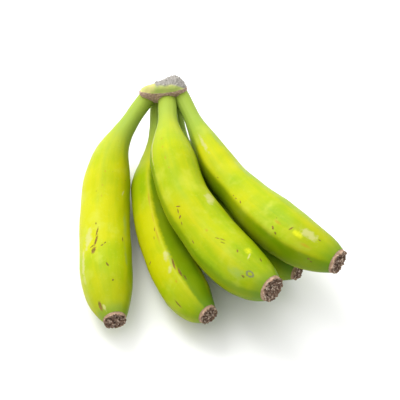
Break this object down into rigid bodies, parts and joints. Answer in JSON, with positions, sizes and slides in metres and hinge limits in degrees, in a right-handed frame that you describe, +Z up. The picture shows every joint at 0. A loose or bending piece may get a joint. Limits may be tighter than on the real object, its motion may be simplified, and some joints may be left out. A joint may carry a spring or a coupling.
{
  "type": "hand of green bananas",
  "caption": "Hand of unripe green bananas joined at a corky crown, lying on its lower row with the blossom ends fanned out.",
  "frame": {"origin": "on the surface that the hand lies on, under the middle of its bounding box", "axes": "+Z up; -Y is the way the fingers point from the crown; +X to the right when seen from the blossom ends"},
  "size_m": [0.1861, 0.1914, 0.0746],
  "materials": {
    "peel_front": "waxy banana peel, satin",
    "peel_lower": "waxy banana peel, satin",
    "crown_cork": "dry, corky, matte"
  },
  "bodies": {
    "root": {"crown": "crown_cork", "finger_1": "peel_front", "finger_2": "peel_lower", "finger_3": "peel_front", "finger_4": "peel_lower", "finger_5": "peel_front"}
  },
  "joints": []
}
